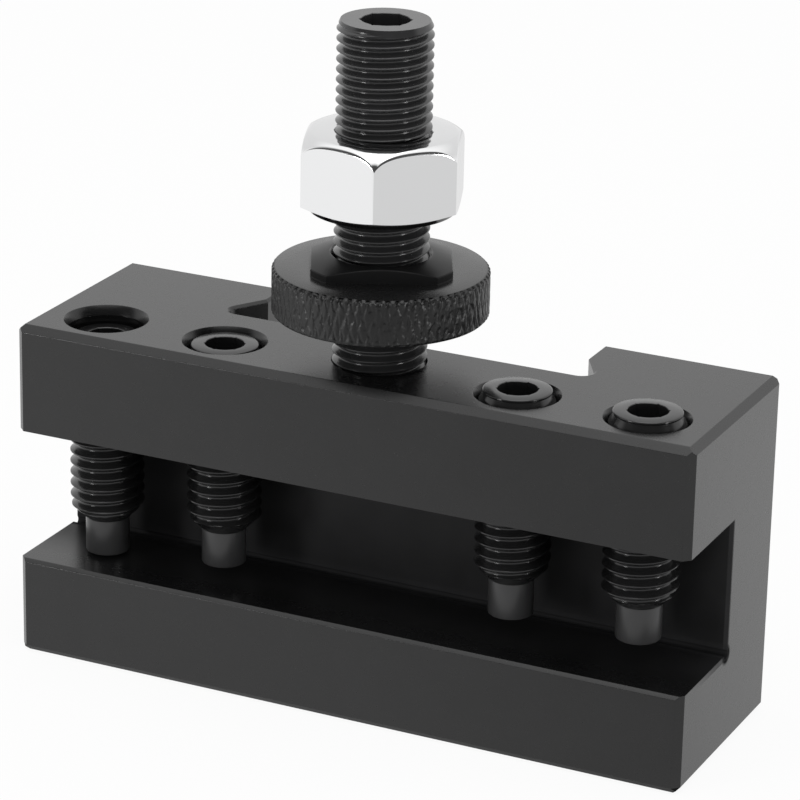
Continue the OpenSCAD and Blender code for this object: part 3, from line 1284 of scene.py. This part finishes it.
@dataclass(frozen=True)
class Studio:
    """The white sweep, the lamps and the camera.

    Each span is a pair of values between which a brightness changes softly.
    """

    azimuth: float = math.radians(25.18)
    elevation: float = math.radians(20.44)
    roll: float = math.radians(1.22)
    camera_place: tuple[float, float, float] = (159.67 * MM, -337.95 * MM, 170.92 * MM)
    lens: float = 172.9
    floor_size: float = 6.0
    paper: float = 0.95
    glow_share: float = 0.93
    falloff: float = 0.27
    falloff_azimuth: float = math.radians(50.0)
    falloff_span: tuple[float, float] = (-0.005, 0.055)
    behind_dim: float = 0.19
    behind_azimuth: float = math.radians(195.0)
    behind_span: tuple[float, float] = (0.93, 0.98)
    fill: float = 0.6
    front_dark: float = 0.93
    front_span: tuple[float, float] = (-0.05, 0.25)
    low_span: tuple[float, float] = (0.64, 0.82)
    ceiling_gain: float = 0.4
    ceiling_span: tuple[float, float] = (0.5, 0.85)
    softboxes: tuple[Softbox, ...] = (
        Softbox("left_softbox", -33.0, 5.0, 0.6, 0.11, 0.13, 22.0),
        Softbox("right_softbox", 84.0, 5.0, 0.6, 0.11, 0.13, 22.0),
        Softbox("top_softbox", 25.0, 82.0, 0.7, 0.55, 0.55, 1.6),
    )

    def build(self) -> None:
        """Builds the floor, world, lamps and camera."""
        bpy.context.scene.view_settings.view_transform = "Standard"
        self.build_floor()
        self.build_world()
        for softbox in self.softboxes:
            softbox.build()
        self.build_camera()

    @staticmethod
    def ray_kinds(tree: bpy.types.NodeTree) -> tuple[Term, Term]:
        """Adds the switches for the rays that see the studio.

        Args:
            tree: The tree that needs them.

        Returns:
            A switch that is 1 for camera and transmission rays, and one that is 1 for glossy rays.
        """
        path = tree.nodes.new("ShaderNodeLightPath")
        labels = ("Is Camera Ray", "Is Glossy Ray", "Is Transmission Ray")
        camera, glossy, through = (Term(tree, path.outputs[label]) for label in labels)
        return camera.most(through), glossy

    @staticmethod
    def along(tree: bpy.types.NodeTree, vector: bpy.types.NodeSocket, way: Vector) -> Term:
        """Measures a vector along a fixed direction.

        Args:
            tree: The tree that needs it.
            vector: The vector.
            way: The direction.

        Returns:
            The length along it.
        """
        node = tree.nodes.new("ShaderNodeVectorMath")
        node.operation = "DOT_PRODUCT"
        node.inputs[1].default_value = way
        tree.links.new(vector, node.inputs[0])
        return Term(tree, node.outputs["Value"])

    def build_floor(self) -> None:
        """Lays the white floor, which keeps a light share of the shadow.

        Reflections see it dim a little towards the right front and straight behind.
        """
        half = self.floor_size / 2
        corners = [(-half, -half, 0.0), (half, -half, 0.0), (half, half, 0.0), (-half, half, 0.0)]
        mesh = bpy.data.meshes.new("floor")
        mesh.from_pydata(corners, [], [(0, 1, 2, 3)])
        floor = bpy.data.objects.new("floor", mesh)
        bpy.context.scene.collection.objects.link(floor)
        material = bpy.data.materials.new("white_sweep")
        material.use_nodes = True
        tree = material.node_tree
        tree.nodes.clear()
        paper = tree.nodes.new("ShaderNodeBsdfDiffuse")
        paper.inputs["Color"].default_value = (self.paper, self.paper, self.paper, 1.0)
        direct, glossy = self.ray_kinds(tree)
        place = tree.nodes.new("ShaderNodeNewGeometry").outputs["Position"]
        aim = tree.nodes.new("ShaderNodeVectorMath")
        aim.operation = "NORMALIZE"
        tree.links.new(place, aim.inputs[0])
        right_front = self.along(tree, place, outward(self.falloff_azimuth, 0.0))
        behind = self.along(tree, aim.outputs["Vector"], outward(self.behind_azimuth, 0.0))
        dim = right_front.eased(*self.falloff_span) * self.falloff
        dim = dim + behind.eased(*self.behind_span) * self.behind_dim
        glow = tree.nodes.new("ShaderNodeEmission")
        tree.links.new((glossy * dim * -1.0 + 1.0).socket, glow.inputs["Strength"])
        mix = tree.nodes.new("ShaderNodeMixShader")
        end = tree.nodes.new("ShaderNodeOutputMaterial")
        tree.links.new((direct.most(glossy) * self.glow_share).socket, mix.inputs["Fac"])
        tree.links.new(paper.outputs[0], mix.inputs[1])
        tree.links.new(glow.outputs[0], mix.inputs[2])
        tree.links.new(mix.outputs[0], end.inputs["Surface"])
        mesh.materials.append(material)

    def build_world(self) -> None:
        """Lights the part from a white room whose side round the camera is dark up to a bright ceiling."""
        world = bpy.data.worlds.new("white_room")
        bpy.context.scene.world = world
        world.use_nodes = True
        tree = world.node_tree
        background = tree.nodes["Background"]
        background.inputs["Color"].default_value = (1.0, 1.0, 1.0, 1.0)
        direction = tree.nodes.new("ShaderNodeTexCoord").outputs["Generated"]
        facing = self.along(tree, direction, outward(self.azimuth, 0.0)).eased(*self.front_span)
        rise = self.along(tree, direction, Vector((0.0, 0.0, 1.0)))
        low = rise.eased(*self.low_span) * -1.0 + 1.0
        ceiling = rise.eased(*self.ceiling_span) * self.ceiling_gain + 1.0
        room = ceiling * (facing * low * -self.front_dark + 1.0)
        direct, glossy = self.ray_kinds(tree)
        strength = direct * (1.0 - self.fill) + glossy * (room - self.fill) + self.fill
        tree.links.new(strength.socket, background.inputs["Strength"])

    def build_camera(self) -> None:
        """Sets the camera up where the photograph was taken from."""
        forward = -outward(self.azimuth, self.elevation)
        level = Vector((math.cos(self.azimuth), math.sin(self.azimuth), 0.0))
        upright = level.cross(forward)
        right = level * math.cos(self.roll) + upright * math.sin(self.roll)
        up = right.cross(forward)
        turn = Matrix((right, up, -forward)).transposed().to_4x4()
        data = bpy.data.cameras.new("photo_camera")
        data.lens = self.lens
        data.sensor_width = 36.0
        data.clip_start = 0.01
        data.clip_end = 20.0
        camera = bpy.data.objects.new("photo_camera", data)
        camera.matrix_world = Matrix.Translation(self.camera_place) @ turn
        bpy.context.scene.collection.objects.link(camera)
        bpy.context.scene.camera = camera


def report(pieces: list[bpy.types.Object]) -> None:
    """Logs the name and face count of each piece.

    Args:
        pieces: The pieces just built.
    """
    for piece in pieces:
        LOG.info("%s: %d faces", piece.name, len(piece.data.polygons))


def main() -> None:
    logging.basicConfig(level=logging.INFO, format="%(name)s: %(message)s")
    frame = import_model()
    thread = thread_tree()
    knurl = knurl_tree()
    report([Block().build(frame["nodes"]["holder_body"])])
    report([Stud().build(thread)])
    report(ClampScrews().build(thread))
    report([ThumbWheel().build(knurl)])
    report([LockNut().build()])
    Studio().build()


if __name__ == "__main__":
    main()
